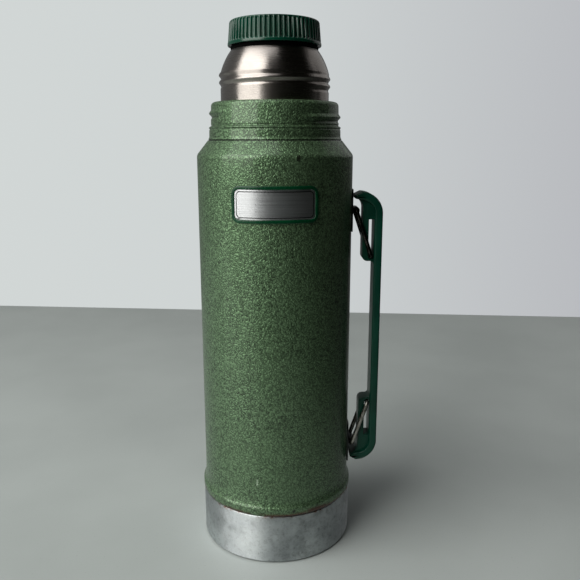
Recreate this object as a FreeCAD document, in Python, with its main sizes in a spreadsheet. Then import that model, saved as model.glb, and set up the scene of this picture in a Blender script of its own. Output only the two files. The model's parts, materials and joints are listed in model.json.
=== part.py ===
"""Steel vacuum bottle with a screw stopper and a folding side handle.

Frame: millimetres, +Z up. The origin is the centre of the base's underside. -Y is the front, which
carries the badge, and +X is the side of the handle.
"""
import FreeCAD, Part
import math
import os
import Sketcher

# Driving dimensions, in millimetres, degrees and turns.
DIMENSIONS = [
    # jacket
    ("body_radius", 48.0),
    ("jacket_wall", 0.8),
    ("jacket_height", 260.3),
    ("lip_overlap", 1.2),
    ("lip_edge", 0.3),
    ("shoulder_height", 8.7),
    ("shoulder_rounding", 4.0),
    ("bead_reach", 0.4),
    ("bead_height", 12.0),
    ("bead_crest_rise", 2.4),
    ("bead_tuck", 0.4),
    ("bead_fall", 0.6),
    ("bead_nose", 4.0),
    ("bead_crown", 6.0),
    ("bead_run_out", 20.0),
    ("skirt_clearance", 3.0),
    # base cup
    ("base_reach", 1.3),
    ("base_height", 32.2),
    ("base_wall", 1.0),
    ("base_corner", 2.0),
    ("seam_gap", 0.4),
    ("stamped_ring_radius", 31.5),
    ("stamped_ring_width", 7.0),
    ("stamped_ring_depth", 1.5),
    # collar with the cup thread
    ("collar_height", 22.3),
    ("collar_wall", 0.9),
    ("collar_ledge", 5.9),
    ("collar_step", 1.5),
    ("collar_step_height", 0.7),
    ("collar_taper", 0.4),
    ("collar_land_height", 8.4),
    ("collar_foot_reach", 0.9),
    ("collar_foot_height", 1.8),
    ("collar_rounding", 2.4),
    ("cup_thread_height", 1.05),
    ("cup_thread_width", 3.0),
    ("cup_thread_flat", 0.8),
    ("cup_thread_lead", 4.2),
    ("cup_thread_turns", 0.83),
    ("cup_thread_rise", 12.1),
    ("cup_thread_azimuth", -71.0),
    ("thread_sink", 0.1),
    # steel neck
    ("neck_radius", 32.7),
    ("neck_wall", 0.7),
    ("neck_land_height", 16.2),
    ("neck_height", 29.7),
    ("neck_flange_clearance", 1.0),
    ("mouth_rim", 2.4),
    ("dome_radius", 38.0),
    ("mouth_lip_depth", 4.0),
    ("neck_thread_height", 0.5),
    ("neck_thread_width", 2.6),
    ("neck_thread_flat", 0.6),
    ("neck_thread_lead", 4.3),
    ("neck_thread_turns", 1.8),
    ("neck_thread_rise", 7.4),
    ("neck_thread_azimuth", -57.0),
    # liner
    ("liner_radius", 36.0),
    ("liner_wall", 0.6),
    ("liner_floor", 17.0),
    ("liner_corner", 6.0),
    ("liner_shoulder_drop", 19.3),
    ("liner_rounding", 6.0),
    ("bore_radius", 23.2),
    # vacuum closure
    ("closure_height", 8.0),
    ("closure_wall", 1.0),
    ("closure_flange", 1.0),
    ("pump_tip_radius", 3.0),
    ("pump_tip_length", 4.0),
    ("pump_tip_wall", 0.8),
    ("getter_radius", 6.0),
    ("getter_thickness", 2.0),
    ("getter_inset", 17.5),
    ("support_radius", 18.0),
    ("support_wall", 6.0),
    ("pad_clearance", 2.5),
    ("pad_bore", 7.0),
    # stopper
    ("cap_height", 14.1),
    ("cap_wall", 2.0),
    ("cap_overhang", 1.8),
    ("cap_band_height", 1.7),
    ("cap_band_edge", 0.2),
    ("rib_foot_step", 0.25),
    ("rib_top_step", 1.15),
    ("rib_root_step", 1.5),
    ("rib_groove_root", 0.9),
    ("rib_groove_mouth", 2.1),
    ("rib_count", 60.0),
    ("cap_rounding", 1.3),
    ("cap_bore_clearance", 0.2),
    ("gasket_thickness", 2.3),
    ("gasket_overhang", 0.1),
    ("gasket_fit", 0.05),
    ("plug_clearance", 1.6),
    ("plug_wall", 1.6),
    ("plug_depth", 30.0),
    ("plug_flange", 2.7),
    ("plug_chamfer", 1.0),
    ("plug_thread_height", 1.2),
    ("bore_thread_height", 1.1),
    ("stopper_thread_width", 2.2),
    ("stopper_thread_flat", 0.8),
    ("stopper_thread_sink", 0.3),
    ("stopper_lead", 6.0),
    ("plug_thread_turns", 2.5),
    ("bore_thread_turns", 1.5),
    ("plug_thread_start", 5.0),
    # badge
    ("badge_height", 20.0),
    ("badge_drop", 35.3),
    ("badge_angle", 60.0),
    ("badge_corner", 4.5),
    ("badge_rim", 1.6),
    ("badge_rim_thickness", 1.1),
    ("badge_plate_thickness", 0.7),
    # handle, its bails and their brackets
    ("upper_pivot_drop", 34.1),
    ("lower_pivot_rise", 16.5),
    ("handle_overrun", 11.8),
    ("handle_reach", 19.1),
    ("handle_thickness", 5.0),
    ("handle_width", 16.0),
    ("handle_bend", 13.5),
    ("hook_clearance", 0.5),
    ("hook_tip_height", 2.2),
    ("hook_slope", 2.1),
    ("web_width", 11.0),
    ("web_depth", 7.3),
    ("web_sink", 2.0),
    ("web_corner", 3.4),
    ("web_fillet", 2.4),
    ("web_end_wall", 1.3),
    ("web_tip_inset", 1.0),
    ("web_tip_rise", 0.3),
    ("web_throat_drop", 11.0),
    ("web_throat_radius", 6.5),
    ("slot_travel", 21.8),
    ("slot_clearance", 0.3),
    ("wire_radius", 1.4),
    ("bail_clearance", 0.4),
    ("bail_inner_bend", 0.6),
    ("wire_end_gap", 0.5),
    ("pin_drop", 29.0),
    ("knuckle_fit", 0.05),
    ("knuckle_stand", 0.15),
    ("knuckle_end_gap", 0.3),
    ("bracket_sheet", 0.9),
    ("bracket_height", 26.4),
    ("bracket_angle", 19.2),
    ("bracket_corner", 2.5),
    ("edge_rounding", 1.2),
    # how far a cut runs past what it cuts
    ("cut_margin", 1.0),
]

doc = FreeCAD.newDocument("VacuumBottle")
sheet = doc.addObject("Spreadsheet::Sheet", "Sizes")
for row, (alias, number) in enumerate(DIMENSIONS, start=1):
    sheet.set(f"A{row}", alias)
    sheet.set(f"B{row}", str(number))
    sheet.setAlias(f"B{row}", alias)
doc.recompute()


class Size:
    """A number, with the spreadsheet expression that gives it."""

    def __init__(self, value, text):
        self.value = value
        self.text = text

    def __add__(self, other):
        other = as_size(other)
        return Size(self.value + other.value, f"({self.text} + {other.text})")

    def __sub__(self, other):
        other = as_size(other)
        return Size(self.value - other.value, f"({self.text} - {other.text})")

    def __mul__(self, other):
        other = as_size(other)
        return Size(self.value * other.value, f"({self.text} * {other.text})")

    def __truediv__(self, other):
        other = as_size(other)
        return Size(self.value / other.value, f"({self.text} / {other.text})")

    def __neg__(self):
        return Size(-self.value, f"(0 - {self.text})")

    __radd__ = __add__
    __rmul__ = __mul__

    def __rsub__(self, other):
        return as_size(other) - self


def as_size(number):
    """A plain number as a Size."""
    if isinstance(number, Size):
        return number
    return Size(float(number), f"({float(number)})")


class Sizes:
    """The spreadsheet's values, read by name."""

    def __getattr__(self, alias):
        return Size(float(getattr(sheet, alias)), f"Sizes.{alias}")


s = Sizes()


def hypotenuse(across, along):
    """The length of a right triangle's long side."""
    text = f"sqrt({across.text} * {across.text} + {along.text} * {along.text})"
    return Size(math.hypot(across.value, along.value), text)


def slope_angle(rise, run):
    """The angle, in degrees, of a line that climbs rise over run."""
    return Size(math.degrees(math.atan2(rise.value, run.value)), f"atan({rise.text} / {run.text})")


def bind(thing, path, size):
    """Bind one property of an object to an expression of the sheet's cells."""
    thing.setExpression(path, as_size(size).text)


def new_body(label):
    """A part-design body whose label names the sub-part."""
    body = doc.addObject("PartDesign::Body", label)
    body.Label = label
    return body


def plane_sketch(body, name, role, turn=None, lift=None):
    """A sketch on one of the body's origin planes, turned about the Z axis or lifted off the plane."""
    plane = [item for item in body.Origin.OriginFeatures if item.Role == role][0]
    sketch = body.newObject("Sketcher::SketchObject", name)
    sketch.AttachmentSupport = [(plane, "")]
    sketch.MapMode = "FlatFace"
    if turn is not None:
        sketch.AttachmentOffset = FreeCAD.Placement(
            FreeCAD.Vector(0, 0, 0), FreeCAD.Rotation(FreeCAD.Vector(0, 1, 0), 1))
        bind(sketch, "AttachmentOffset.Rotation.Angle", turn)
    if lift is not None:
        bind(sketch, "AttachmentOffset.Base.z", lift)
    return sketch


def arc_between(start, end, radius):
    """The shorter arc from start to end. A positive radius turns left, a negative one right."""
    middle = (start + end) * 0.5
    half = (end - start) * 0.5
    left = FreeCAD.Vector(-half.y, half.x, 0).normalize()
    height = math.sqrt(max(radius * radius - half.Length ** 2, 0.0))
    centre = middle + left * math.copysign(height, radius)
    first, last = (start, end) if radius > 0 else (end, start)
    begin = math.atan2(first.y - centre.y, first.x - centre.x)
    finish = math.atan2(last.y - centre.y, last.x - centre.x)
    if finish <= begin:
        finish += 2 * math.pi
    circle = Part.Circle(centre, FreeCAD.Vector(0, 0, 1), abs(radius))
    return Part.ArcOfCircle(circle, begin, finish)


def draw(sketch, outline, closed=True):
    """Draw an outline of (x, y) corners. A third value makes the side that ends there an arc."""
    corners = [tuple(as_size(number) for number in corner) for corner in outline]
    points = [FreeCAD.Vector(corner[0].value, corner[1].value, 0) for corner in corners]
    sides = len(corners) if closed else len(corners) - 1
    rules = []
    bound = []
    ends = []
    for index in range(sides):
        target = (index + 1) % len(corners)
        corner = corners[target]
        if len(corner) == 3:
            curve = arc_between(points[index], points[target], corner[2].value)
            ends.append((1, 2) if corner[2].value > 0 else (2, 1))
        else:
            curve = Part.LineSegment(points[index], points[target])
            ends.append((1, 2))
        side = sketch.addGeometry(curve)
        if len(corner) == 3:
            radius = corner[2] if corner[2].value > 0 else -corner[2]
            bound.append((len(rules), radius))
            rules.append(Sketcher.Constraint("Radius", side, radius.value))
    for index in range(len(corners)):
        side = min(index, sides - 1)
        place = ends[side][0] if index < sides else ends[side][1]
        if 0 < index < sides or (closed and index == 0):
            before = (index - 1) % sides
            rules.append(Sketcher.Constraint("Coincident", before, ends[before][1], side, place))
        for axis, kind, number in ((-2, "DistanceX", corners[index][0]),
                                   (-1, "DistanceY", corners[index][1])):
            if number.value == 0:
                rules.append(Sketcher.Constraint("PointOnObject", side, place, axis))
            else:
                bound.append((len(rules), number))
                rules.append(Sketcher.Constraint(kind, -1, 1, side, place, number.value))
    sketch.addConstraint(rules)
    for index, number in bound:
        bind(sketch, f"Constraints[{index}]", number)


def draw_circle(sketch, across, up, radius):
    """Draw a circle whose centre and radius are bound to the sheet."""
    across, up, radius = as_size(across), as_size(up), as_size(radius)
    centre = FreeCAD.Vector(across.value, up.value, 0)
    sketch.addGeometry(Part.Circle(centre, FreeCAD.Vector(0, 0, 1), radius.value))
    rules = [Sketcher.Constraint("Radius", 0, radius.value)]
    bound = [(0, radius)]
    for axis, kind, number in ((-2, "DistanceX", across), (-1, "DistanceY", up)):
        if number.value == 0:
            rules.append(Sketcher.Constraint("PointOnObject", 0, 3, axis))
        else:
            bound.append((len(rules), number))
            rules.append(Sketcher.Constraint(kind, -1, 1, 0, 3, number.value))
    sketch.addConstraint(rules)
    for index, number in bound:
        bind(sketch, f"Constraints[{index}]", number)


def turned(label, outline, angle=360.0):
    """A body made by turning an outline of (radius, height) corners about the Z axis."""
    body = new_body(label)
    sketch = plane_sketch(body, f"{label}_outline", "XZ_Plane")
    draw(sketch, outline)
    turn = body.newObject("PartDesign::Revolution", f"{label}_turned")
    turn.Profile = sketch
    turn.ReferenceAxis = (sketch, ["V_Axis"])
    turn.Midplane = True
    bind(turn, "Angle", angle)
    doc.recompute()
    return body


def helical_ridge(body, name, section, lead, turns, azimuth=0.0):
    """Wind a section round the Z axis as a right-handed ridge on a body, from an angle on."""
    sketch = plane_sketch(body, f"{name}_section", "XZ_Plane", turn=azimuth)
    draw(sketch, section)
    ridge = body.newObject("PartDesign::AdditiveHelix", name)
    ridge.Profile = sketch
    ridge.ReferenceAxis = (sketch, ["V_Axis"])
    ridge.Mode = "pitch-turns-angle"
    bind(ridge, "Pitch", lead)
    bind(ridge, "Turns", turns)
    doc.recompute()
    return ridge


def ridge_section(root, crest, height, width, flat):
    """A ridge's section: its foot is sunk a little into the wall that it stands on."""
    return [(root, height - width / 2), (crest, height - flat / 2),
            (crest, height + flat / 2), (root, height + width / 2)]


def padded(body, name, width, shape, cut=False):
    """Pad, or cut, a shape on the XZ plane by a width centred on it: an outline or (x, z, radius)."""
    sketch = plane_sketch(body, f"{name}_outline", "XZ_Plane")
    if isinstance(shape, tuple):
        draw_circle(sketch, *shape)
    else:
        draw(sketch, shape)
    kind = "PartDesign::Pocket" if cut else "PartDesign::Pad"
    feature = body.newObject(kind, name)
    feature.Profile = sketch
    feature.Midplane = True
    bind(feature, "Length", width)
    doc.recompute()
    return feature


def rounded(body, name, radius, wanted):
    """Fillet the edges of the body's tip that the test wanted accepts."""
    base = body.Tip
    names = [f"Edge{index}" for index, edge in enumerate(base.Shape.Edges, start=1) if wanted(edge)]
    if not names:
        raise ValueError(f"{name}: no edge to round")
    fillet = body.newObject("PartDesign::Fillet", name)
    fillet.Base = (base, names)
    bind(fillet, "Radius", radius)
    doc.recompute()
    return fillet


def ring_edge(radius, height):
    """A test for the whole circular edge of one radius at one height."""
    def wanted(edge):
        is_circle = isinstance(edge.Curve, Part.Circle)
        return (is_circle and abs(edge.Curve.Radius - radius.value) < 0.01
                and abs(edge.Curve.Center.z - height.value) < 0.01)
    return wanted


def radial_edge(edge):
    """A test for a level straight edge that points away from the Z axis."""
    if not isinstance(edge.Curve, Part.Line):
        return False
    start, end = edge.Vertexes[0].Point, edge.Vertexes[-1].Point
    step = math.hypot(end.x, end.y) - math.hypot(start.x, start.y)
    return abs(start.z - end.z) < 1e-6 and abs(abs(step) - edge.Length) < 1e-3


def radial_edge_at(*heights):
    """A test for a radial edge at one of the heights."""
    def wanted(edge):
        level = edge.Vertexes[0].Point.z
        return radial_edge(edge) and any(abs(level - height.value) < 0.01 for height in heights)
    return wanted


def turn_body(body, angle):
    """Turn a body about the Z axis."""
    body.Placement = FreeCAD.Placement(
        FreeCAD.Vector(0, 0, 0), FreeCAD.Rotation(FreeCAD.Vector(0, 0, 1), angle))


# Heights that several pieces share.
bead_bottom = s.base_height + s.seam_gap
bead_top = bead_bottom + s.bead_height
cone_bottom = s.jacket_height - s.shoulder_height
collar_top = s.jacket_height + s.collar_height
mouth_height = collar_top + s.neck_height
cap_bottom = mouth_height + s.gasket_thickness
cap_top = cap_bottom + s.cap_height
skirt_bottom = s.base_wall + s.skirt_clearance
badge_centre = s.jacket_height - s.badge_drop

# Radii that several pieces share, from the axis outwards.
plug_radius = s.bore_radius - s.plug_clearance
tube_outer = s.bore_radius + s.liner_wall
mouth_radius = tube_outer + s.mouth_rim
cap_band_radius = mouth_radius + s.cap_overhang
liner_outer = s.liner_radius + s.liner_wall
collar_top_radius = s.neck_radius + s.collar_ledge
collar_land_radius = collar_top_radius + s.collar_step
collar_foot_radius = collar_land_radius + s.collar_foot_reach
base_radius = s.body_radius + s.base_reach
skirt_radius = base_radius - s.base_wall
disc_radius = skirt_radius - s.jacket_wall


def make_jacket():
    """Painted can: skirt inside the base cup, rolled bead, cylinder, cone and turned-in lip."""
    wall = s.jacket_wall
    crest = base_radius + s.bead_reach
    crest_height = bead_bottom + s.bead_crest_rise
    middle = bead_bottom + s.bead_height / 2
    lip_bore = s.neck_radius - s.lip_overlap
    body = turned("body_jacket", [
        (skirt_radius - wall, skirt_bottom),
        (skirt_radius, skirt_bottom),
        (skirt_radius, bead_bottom - s.seam_gap / 2),
        (crest - s.bead_tuck, bead_bottom),
        (crest, crest_height, s.bead_nose),
        (crest - s.bead_fall, middle, s.bead_crown),
        (s.body_radius, bead_top, -s.bead_run_out),
        (s.body_radius, cone_bottom),
        (collar_foot_radius + s.lip_edge, s.jacket_height - s.lip_edge),
        (collar_foot_radius, s.jacket_height),
        (lip_bore, s.jacket_height),
        (lip_bore, s.jacket_height - wall),
        (collar_foot_radius - wall, s.jacket_height - wall),
        (s.body_radius - wall, cone_bottom - wall / 2),
        (s.body_radius - wall, bead_top),
        (crest - s.bead_fall - wall, middle, s.bead_run_out),
        (crest - wall, crest_height, -s.bead_crown),
        (skirt_radius - wall, bead_bottom - wall),
    ])
    rounded(body, "shoulder_round", s.shoulder_rounding, ring_edge(s.body_radius, cone_bottom))
    return body


def make_base_cup():
    """Bare cup pressed over the jacket's skirt, with a ring stamped up into its floor."""
    wall = s.base_wall
    corner = s.base_corner
    half = s.stamped_ring_width / 2
    inner_ring = s.stamped_ring_radius - half
    outer_ring = s.stamped_ring_radius + half
    slope = s.stamped_ring_depth
    return turned("base_cup", [
        (0, 0),
        (inner_ring, 0),
        (inner_ring + slope, slope),
        (outer_ring - slope, slope),
        (outer_ring, 0),
        (base_radius - corner, 0),
        (base_radius, corner, corner),
        (base_radius, s.base_height),
        (base_radius - wall, s.base_height),
        (base_radius - wall, corner),
        (base_radius - corner, wall, wall - corner),
        (outer_ring + wall / 2, wall),
        (outer_ring - slope + wall / 2, slope + wall),
        (inner_ring + slope - wall / 2, slope + wall),
        (inner_ring - wall / 2, wall),
        (0, wall),
    ])


def make_collar():
    """Painted ring above the shoulder that carries the rolled thread for the drinking cup."""
    wall = s.collar_wall
    foot = s.jacket_height
    foot_top = foot + s.collar_foot_height
    land_top = foot + s.collar_land_height
    thread_root = collar_top_radius + s.collar_taper
    round_start = collar_top - s.collar_rounding
    ledge = collar_top_radius - s.collar_rounding
    body = turned("cup_thread_collar", [
        (collar_foot_radius - wall, foot),
        (collar_foot_radius, foot),
        (collar_land_radius, foot_top),
        (collar_land_radius, land_top),
        (thread_root, land_top + s.collar_step_height),
        (collar_top_radius, round_start),
        (ledge, collar_top, s.collar_rounding),
        (s.neck_radius, collar_top),
        (s.neck_radius, collar_top - wall),
        (ledge, collar_top - wall),
        (collar_top_radius - wall, round_start, wall - s.collar_rounding),
        (thread_root - wall, land_top + s.collar_step_height - wall / 2),
        (collar_land_radius - wall, land_top - wall / 2),
        (collar_land_radius - wall, foot_top),
    ])
    section = ridge_section(
        collar_top_radius - s.thread_sink, collar_top_radius + s.cup_thread_height,
        foot + s.cup_thread_rise, s.cup_thread_width, s.cup_thread_flat)
    helical_ridge(
        body, "cup_thread", section, s.cup_thread_lead, s.cup_thread_turns, s.cup_thread_azimuth)
    return body


def make_neck_shell():
    """Bare neck: flange on the jacket's lip, land with a rolled thread, dome and mouth lip."""
    wall = s.neck_wall
    flange_radius = collar_foot_radius - s.collar_wall - s.neck_flange_clearance
    dome_foot = collar_top + s.neck_land_height
    body = turned("neck_shell", [
        (s.neck_radius - wall, s.jacket_height),
        (flange_radius, s.jacket_height),
        (flange_radius, s.jacket_height + wall),
        (s.neck_radius, s.jacket_height + wall),
        (s.neck_radius, dome_foot),
        (mouth_radius, mouth_height, s.dome_radius),
        (tube_outer, mouth_height),
        (tube_outer, mouth_height - s.mouth_lip_depth),
        (tube_outer + wall, mouth_height - s.mouth_lip_depth),
        (tube_outer + wall, mouth_height - wall),
        (mouth_radius - wall / 2, mouth_height - wall),
        (s.neck_radius - wall, dome_foot, wall - s.dome_radius),
    ])
    section = ridge_section(
        s.neck_radius - s.thread_sink, s.neck_radius + s.neck_thread_height,
        collar_top + s.neck_thread_rise, s.neck_thread_width, s.neck_thread_flat)
    helical_ridge(
        body, "neck_thread", section, s.neck_thread_lead, s.neck_thread_turns, s.neck_thread_azimuth)
    return body


def make_liner():
    """Inner bottle, from its floor to the mouth, with the stopper's thread rolled into its neck."""
    wall = s.liner_wall
    corner = s.liner_corner
    big = s.liner_rounding
    small = liner_outer - tube_outer - big
    shoulder = s.jacket_height - s.liner_shoulder_drop
    shoulder_top = shoulder + big
    tube_foot = shoulder_top + small
    body = turned("inner_liner", [
        (0, s.liner_floor),
        (liner_outer - corner, s.liner_floor),
        (liner_outer, s.liner_floor + corner, corner),
        (liner_outer, shoulder),
        (liner_outer - big, shoulder_top, big),
        (tube_outer, tube_foot, -small),
        (tube_outer, mouth_height),
        (s.bore_radius, mouth_height),
        (s.bore_radius, tube_foot),
        (liner_outer - big, shoulder_top - wall, small + wall),
        (s.liner_radius, shoulder, wall - big),
        (s.liner_radius, s.liner_floor + corner),
        (liner_outer - corner, s.liner_floor + wall, wall - corner),
        (0, s.liner_floor + wall),
    ])
    # One and a half turns above the plug's ridge, so that the two ridges lie half a lead apart.
    start = mouth_height - s.plug_depth + s.plug_thread_start + s.stopper_lead * 1.5
    section = ridge_section(
        s.bore_radius + s.stopper_thread_sink, s.bore_radius - s.bore_thread_height,
        start, s.stopper_thread_width, s.stopper_thread_flat)
    helical_ridge(body, "bore_thread", section, s.stopper_lead, s.bore_thread_turns)
    return body


def make_jacket_bottom():
    """Disc that closes the space between liner and jacket, with a flange down the jacket's skirt."""
    return turned("jacket_bottom", [
        (s.pump_tip_radius, s.closure_height),
        (disc_radius - s.closure_flange, s.closure_height),
        (disc_radius - s.closure_flange, skirt_bottom),
        (disc_radius, skirt_bottom),
        (disc_radius, s.closure_height + s.closure_wall),
        (s.pump_tip_radius, s.closure_height + s.closure_wall),
    ])


def make_pump_tip():
    """Pinched tube through which the air was drawn out."""
    radius = s.pump_tip_radius
    wall = s.pump_tip_wall
    end = s.closure_height - s.pump_tip_length
    return turned("pump_out_tip", [
        (0, end),
        (wall, end),
        (radius, end + radius - wall),
        (radius, s.closure_height + s.closure_wall),
        (radius - wall, s.closure_height + s.closure_wall),
        (radius - wall, end + radius),
        (0, end + wall * 2),
    ])


def make_getter():
    """Button in the vacuum space, standing on the closure disc."""
    button = doc.addObject("Part::Cylinder", "getter")
    button.Label = "getter"
    bind(button, "Radius", s.getter_radius)
    bind(button, "Height", s.getter_thickness)
    bind(button, "Placement.Base.x", disc_radius - s.getter_inset)
    bind(button, "Placement.Base.z", s.closure_height + s.closure_wall)
    return button


def make_liner_support():
    """Ring between the closure disc and the liner's floor."""
    bottom = s.closure_height + s.closure_wall
    return turned("liner_support", [
        (s.support_radius - s.support_wall, bottom),
        (s.support_radius, bottom),
        (s.support_radius, s.liner_floor),
        (s.support_radius - s.support_wall, s.liner_floor),
    ])


def make_base_pad():
    """Soft ring that fills the base cup below the closure disc."""
    bottom = s.base_wall + s.stamped_ring_depth
    outer = disc_radius - s.closure_flange - s.pad_clearance
    return turned("base_pad", [
        (s.pad_bore, bottom),
        (outer, bottom),
        (outer, s.closure_height),
        (s.pad_bore, s.closure_height),
    ])


def make_badge_frame():
    """Raised rim round the badge's plate."""
    half = s.badge_height / 2
    outer = s.body_radius + s.badge_rim_thickness
    body = turned("badge_frame", [
        (s.body_radius, badge_centre - half),
        (outer, badge_centre - half),
        (outer, badge_centre + half),
        (s.body_radius, badge_centre + half),
    ], s.badge_angle)
    rounded(body, "badge_corners", s.badge_corner, radial_edge)
    window = plane_sketch(body, "badge_window_outline", "XZ_Plane")
    low = badge_centre - half + s.badge_rim
    high = badge_centre + half - s.badge_rim
    draw(window, [
        (s.body_radius - s.cut_margin, low),
        (outer + s.cut_margin, low),
        (outer + s.cut_margin, high),
        (s.body_radius - s.cut_margin, high),
    ])
    groove = body.newObject("PartDesign::Groove", "badge_window")
    groove.Profile = window
    groove.ReferenceAxis = (window, ["V_Axis"])
    groove.Midplane = True
    bind(groove, "Angle", badge_window_angle())
    doc.recompute()
    rounded(body, "badge_window_corners", s.badge_corner - s.badge_rim, radial_edge_at(low, high))
    turn_body(body, -90)
    return body


def badge_window_angle():
    """The angle between the two upright inner edges of the badge's rim."""
    rim_angle = s.badge_rim / s.body_radius * (180 / math.pi)
    return s.badge_angle - rim_angle * 2


def make_badge_plate():
    """Bare plate inside the rim."""
    low = badge_centre - s.badge_height / 2 + s.badge_rim
    high = badge_centre + s.badge_height / 2 - s.badge_rim
    outer = s.body_radius + s.badge_plate_thickness
    body = turned("badge_plate", [
        (s.body_radius, low),
        (outer, low),
        (outer, high),
        (s.body_radius, high),
    ], badge_window_angle())
    rounded(body, "plate_corners", s.badge_corner - s.badge_rim, radial_edge)
    turn_body(body, -90)
    return body


# The bail's pivot and the handle's pin, measured from the bottle's axis and the handle's middle.
upper_pivot = cone_bottom - s.upper_pivot_drop
lower_pivot = bead_top + s.lower_pivot_rise
handle_centre = (upper_pivot + lower_pivot) / 2
pivot_offset = (upper_pivot - lower_pivot) / 2
pin_offset = pivot_offset - s.pin_drop
knuckle_bore = s.wire_radius + s.knuckle_fit
pivot_x = s.body_radius + s.bracket_sheet + s.knuckle_stand + knuckle_bore
handle_outer = s.body_radius + s.handle_reach
handle_inner = handle_outer - s.handle_thickness
slot_half = s.wire_radius + s.slot_clearance
pin_x = handle_inner - slot_half
bail_half_width = s.web_width / 2 + s.bail_clearance + s.wire_radius
bail_bend = s.wire_radius + s.bail_inner_bend


def make_bracket(label, side):
    """Sheet plate on the jacket with a knuckle rolled from it. side is 1 above, -1 below."""
    height = handle_centre + pivot_offset * side
    half = s.bracket_height / 2
    knuckle_width = (bail_half_width - bail_bend - s.knuckle_end_gap) * 2
    outer = s.body_radius + s.bracket_sheet
    body = turned(label, [
        (s.body_radius, height - half),
        (outer, height - half),
        (outer, height + half),
        (s.body_radius, height + half),
    ], s.bracket_angle)
    rounded(body, f"{label}_corners", s.bracket_corner, radial_edge)
    padded(body, f"{label}_knuckle", knuckle_width, (pivot_x, height, knuckle_bore + s.bracket_sheet))
    padded(body, f"{label}_bore", knuckle_width + s.cut_margin, (pivot_x, height, knuckle_bore), cut=True)
    return body


def make_bail(label, side):
    """Loop of wire from the bracket's knuckle to the handle's slot. side is 1 above, -1 below."""
    run = pin_x - pivot_x
    length = hypotenuse(run, s.pin_drop)
    half = bail_half_width
    bend = bail_bend
    body = new_body(label)
    path = plane_sketch(body, f"{label}_path", "XY_Plane")
    draw(path, [
        (0, 0),
        (0, half - bend),
        (bend, half, -bend),
        (length - bend, half),
        (length, half - bend, -bend),
        (length, bend - half),
        (length - bend, -half, -bend),
        (bend, -half),
        (0, bend - half, -bend),
        (0, -s.wire_end_gap),
    ], closed=False)
    section = plane_sketch(body, f"{label}_section", "XZ_Plane")
    draw_circle(section, 0, 0, s.wire_radius)
    pipe = body.newObject("PartDesign::AdditivePipe", f"{label}_wire")
    pipe.Profile = section
    pipe.Spine = (path, [])
    doc.recompute()
    body.Placement = FreeCAD.Placement(
        FreeCAD.Vector(0, 0, 0), FreeCAD.Rotation(FreeCAD.Vector(0, side, 0), 1))
    bind(body, "Placement.Rotation.Angle", slope_angle(s.pin_drop, run))
    bind(body, "Placement.Base.x", pivot_x)
    bind(body, "Placement.Base.z", handle_centre + pivot_offset * side)
    doc.recompute()
    return body


def mirrored_height(outline, side):
    """An outline given from the handle's middle, placed above it (side 1) or mirrored below (-1)."""
    placed = []
    for corner in outline:
        arc = tuple(as_size(radius) * side for radius in corner[2:])
        placed.append((corner[0], handle_centre + as_size(corner[1]) * side) + arc)
    return placed


def outer_band_edge(edge):
    """A test for the long edges of the grip's outer face and of the two bends beside it."""
    side = s.handle_width.value / 2
    start, end = edge.Vertexes[0].Point, edge.Vertexes[-1].Point
    level = abs(start.y - end.y) < 1e-6 and abs(abs(start.y) - side) < 1e-3
    if isinstance(edge.Curve, Part.Circle):
        return level and abs(edge.Curve.Radius - s.handle_bend.value) < 0.01
    return level and min(start.x, end.x) > handle_outer.value - 0.01


def make_handle():
    """Moulded grip: an outer band with a hook at each end, stiffened by slotted webs."""
    half = pivot_offset + s.handle_overrun
    bend = s.handle_bend
    inner_bend = bend - s.handle_thickness
    straight = half - bend
    hook_x = handle_outer - bend
    tip_x = s.body_radius + s.bracket_sheet + s.hook_clearance
    tip_top = half - s.hook_slope
    tip_bottom = tip_top - s.hook_tip_height
    body = new_body("handle")
    upper = mirrored_height([
        (handle_outer, straight),
        (hook_x, half, bend),
        (tip_x, tip_top),
        (tip_x, tip_bottom),
        (hook_x, half - s.handle_thickness),
        (handle_inner, straight, -inner_bend),
    ], 1)
    lower = mirrored_height([
        (handle_inner, straight),
        (hook_x, half - s.handle_thickness, inner_bend),
        (tip_x, tip_bottom),
        (tip_x, tip_top),
        (hook_x, half),
        (handle_outer, straight, -bend),
    ], -1)
    padded(body, "grip_band", s.handle_width, upper + lower)
    web_x = handle_inner - s.web_depth
    web_end = pin_offset - slot_half - s.web_end_wall
    slot_end = pin_offset + s.slot_travel + slot_half
    for side, name in ((1, "upper"), (-1, "lower")):
        padded(body, f"{name}_web", s.web_width, mirrored_height([
            (handle_inner + s.web_sink, web_end - s.web_fillet),
            (handle_inner + s.web_sink, straight),
            (web_x, half - s.handle_thickness + s.web_sink, inner_bend + s.web_sink),
            (tip_x + s.web_tip_inset, tip_bottom + s.web_tip_rise),
            (web_x, half - s.web_throat_drop, -s.web_throat_radius),
            (web_x, web_end + s.web_corner),
            (web_x + s.web_corner, web_end, s.web_corner),
            (handle_inner - s.web_fillet, web_end),
            (handle_inner, web_end - s.web_fillet, -s.web_fillet),
        ], side))
        padded(body, f"{name}_slot", s.web_width + s.cut_margin, mirrored_height([
            (pin_x - slot_half, pin_offset),
            (pin_x, pin_offset - slot_half, slot_half),
            (pin_x + slot_half, pin_offset, slot_half),
            (pin_x + slot_half, slot_end),
            (pin_x - slot_half, slot_end),
        ], side), cut=True)
    rounded(body, "grip_edges", s.edge_rounding, outer_band_edge)
    return body


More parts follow.
